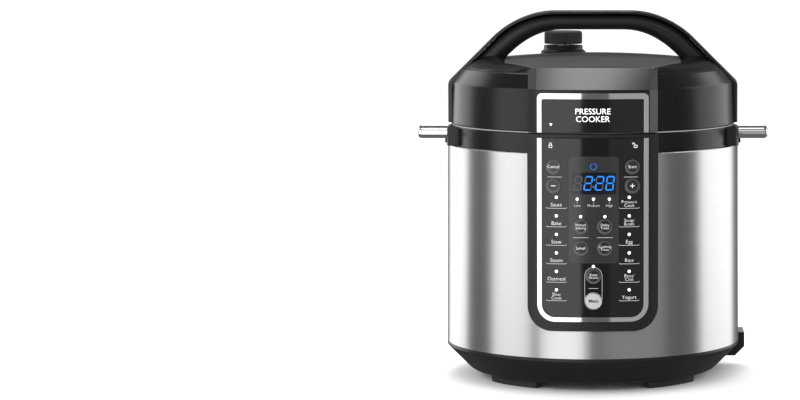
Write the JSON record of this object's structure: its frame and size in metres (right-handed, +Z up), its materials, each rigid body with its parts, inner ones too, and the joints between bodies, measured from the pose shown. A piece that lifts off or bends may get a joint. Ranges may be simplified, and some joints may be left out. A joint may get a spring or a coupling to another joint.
{
  "type": "electric pressure cooker",
  "caption": "Upright electric pressure cooker with brushed steel body, control panel, bayonet lid with arched carrying handle, removable inner pot and steam release knob.",
  "frame": {"origin": "the pot's axis on the plane that the rubber feet stand on", "axes": "+Z up along the pot's axis, -Y towards the control panel, +X towards the right side handle as seen from the front"},
  "size_m": [0.3504, 0.3045, 0.369],
  "materials": {
    "black_plastic": "moulded satin black",
    "gloss_black": "polished piano black",
    "grey_plastic": "fine textured dark grey",
    "brushed_steel": "horizontal brushed stainless steel",
    "plain_steel": "plain rolled steel",
    "cast_aluminium": "bead blasted",
    "coated_pot": "dark non-stick coating with a bare rim",
    "chrome": "polished chrome",
    "rubber": "soft matt black",
    "silicone": "translucent white silicone",
    "circuit_board": "green solder mask",
    "lens": "clear tinted lens",
    "key_face": "gloss black with a printed white ring",
    "silver_key": "satin silver"
  },
  "bodies": {
    "cooker_base": {"base_housing": "black_plastic", "bottom_cover": "black_plastic", "rubber_feet": "rubber", "steel_wall": "brushed_steel", "collar_ring": "gloss_black", "outer_cooker": "cast_aluminium", "heating_plate": "cast_aluminium", "heating_element": "cast_aluminium", "heater_bracket": "plain_steel", "sensor_bracket": "plain_steel", "sensor_spring": "plain_steel", "pressure_switch": "black_plastic", "heat_shield": "plain_steel", "power_board": "circuit_board", "board_components": "black_plastic", "display_board": "circuit_board", "display_module": "gloss_black", "key_switches": "black_plastic", "panel_frame": "black_plastic", "panel_bezel": "black_plastic", "panel_trim": "chrome", "panel_overlay": "gloss_black", "indicator_lenses": "lens", "side_handles": "chrome", "handle_roots": "black_plastic", "assembly_screws": "plain_steel", "power_inlet": "black_plastic", "inlet_pins": "chrome"},
    "pot": {"inner_pot": "coated_pot"},
    "gasket": {"sealing_ring": "silicone"},
    "lid": {"lid_housing": "gloss_black", "lid_top_plate": "grey_plastic", "lid_fascia": "gloss_black", "fascia_trim": "chrome", "fascia_panel": "gloss_black", "handle_cap": "gloss_black", "handle_grip": "black_plastic", "pressure_lid": "brushed_steel", "gasket_rack": "plain_steel", "anti_block_shield": "plain_steel", "valve_base": "black_plastic", "valve_pipe": "plain_steel"},
    "knob": {"steam_release_knob": "gloss_black"},
    "float_pin": {"float_valve": "plain_steel", "float_seal": "silicone"},
    "sensor": {"sensor_cap": "cast_aluminium"},
    "cup": {"condensation_cup": "black_plastic"},
    "lever": {"lid_lever": "black_plastic"},
    "key_cancel": {"key_cancel": "key_face"},
    "key_minus": {"key_minus": "key_face"},
    "key_start": {"key_start": "key_face"},
    "key_plus": {"key_plus": "key_face"},
    "key_manual": {"key_manual": "key_face"},
    "key_delay": {"key_delay": "key_face"},
    "key_level": {"key_level": "key_face"},
    "key_timer": {"key_timer": "key_face"},
    "key_warm": {"key_warm": "key_face"},
    "key_menu": {"key_menu": "silver_key"}
  },
  "joints": [
    {"name": "pot_lift", "type": "slide", "parent": "cooker_base", "child": "pot", "axis": [0, 0, 1], "range_m": [0, 0.2]},
    {"name": "lid_lift", "type": "slide", "parent": "pot", "child": "gasket", "axis": [0, 0, 1], "range_m": [0, 0.15]},
    {"name": "lid_turn", "type": "hinge", "parent": "gasket", "child": "lid", "pos_m": [0, 0, 0.256], "axis": [0, 0, 1], "range_deg": [0, 32]},
    {"name": "knob_turn", "type": "hinge", "parent": "lid", "child": "knob", "pos_m": [-0.0304, 0.06, 0.34], "axis": [0, 0, 1], "range_deg": [0, 45]},
    {"name": "float_rise", "type": "slide", "parent": "lid", "child": "float_pin", "axis": [0, 0, 1], "range_m": [0, 0.004]},
    {"name": "sensor_press", "type": "slide", "parent": "cooker_base", "child": "sensor", "axis": [0, 0, -1], "range_m": [0, 0.002], "stiffness_N_per_m": 300, "springref_m": -0.004, "deforming": ["sensor_spring"]},
    {"name": "cup_pull", "type": "slide", "parent": "cooker_base", "child": "cup", "axis": [0, 1, 0], "range_m": [0, 0.05]},
    {"name": "lever_slide", "type": "slide", "parent": "cooker_base", "child": "lever", "axis": [0.9563, 0.2924, 0], "range_m": [0, 0.004], "stiffness_N_per_m": 100, "springref_m": -0.002},
    {"name": "press_cancel", "type": "slide", "parent": "cooker_base", "child": "key_cancel", "axis": [0, 1, 0], "range_m": [0, 0.0005], "stiffness_N_per_m": 500, "springref_m": -0.0004},
    {"name": "press_minus", "type": "slide", "parent": "cooker_base", "child": "key_minus", "axis": [0, 1, 0], "range_m": [0, 0.0005], "stiffness_N_per_m": 500, "springref_m": -0.0004},
    {"name": "press_start", "type": "slide", "parent": "cooker_base", "child": "key_start", "axis": [0, 1, 0], "range_m": [0, 0.0005], "stiffness_N_per_m": 500, "springref_m": -0.0004},
    {"name": "press_plus", "type": "slide", "parent": "cooker_base", "child": "key_plus", "axis": [0, 1, 0], "range_m": [0, 0.0005], "stiffness_N_per_m": 500, "springref_m": -0.0004},
    {"name": "press_manual", "type": "slide", "parent": "cooker_base", "child": "key_manual", "axis": [0, 1, 0], "range_m": [0, 0.0005], "stiffness_N_per_m": 500, "springref_m": -0.0004},
    {"name": "press_delay", "type": "slide", "parent": "cooker_base", "child": "key_delay", "axis": [0, 1, 0], "range_m": [0, 0.0005], "stiffness_N_per_m": 500, "springref_m": -0.0004},
    {"name": "press_level", "type": "slide", "parent": "cooker_base", "child": "key_level", "axis": [0, 1, 0], "range_m": [0, 0.0005], "stiffness_N_per_m": 500, "springref_m": -0.0004},
    {"name": "press_timer", "type": "slide", "parent": "cooker_base", "child": "key_timer", "axis": [0, 1, 0], "range_m": [0, 0.0005], "stiffness_N_per_m": 500, "springref_m": -0.0004},
    {"name": "press_warm", "type": "slide", "parent": "cooker_base", "child": "key_warm", "axis": [0, 1, 0], "range_m": [0, 0.0005], "stiffness_N_per_m": 500, "springref_m": -0.0004},
    {"name": "press_menu", "type": "slide", "parent": "cooker_base", "child": "key_menu", "axis": [0, 1, 0], "range_m": [0, 0.0005], "stiffness_N_per_m": 500, "springref_m": -0.0004}
  ]
}
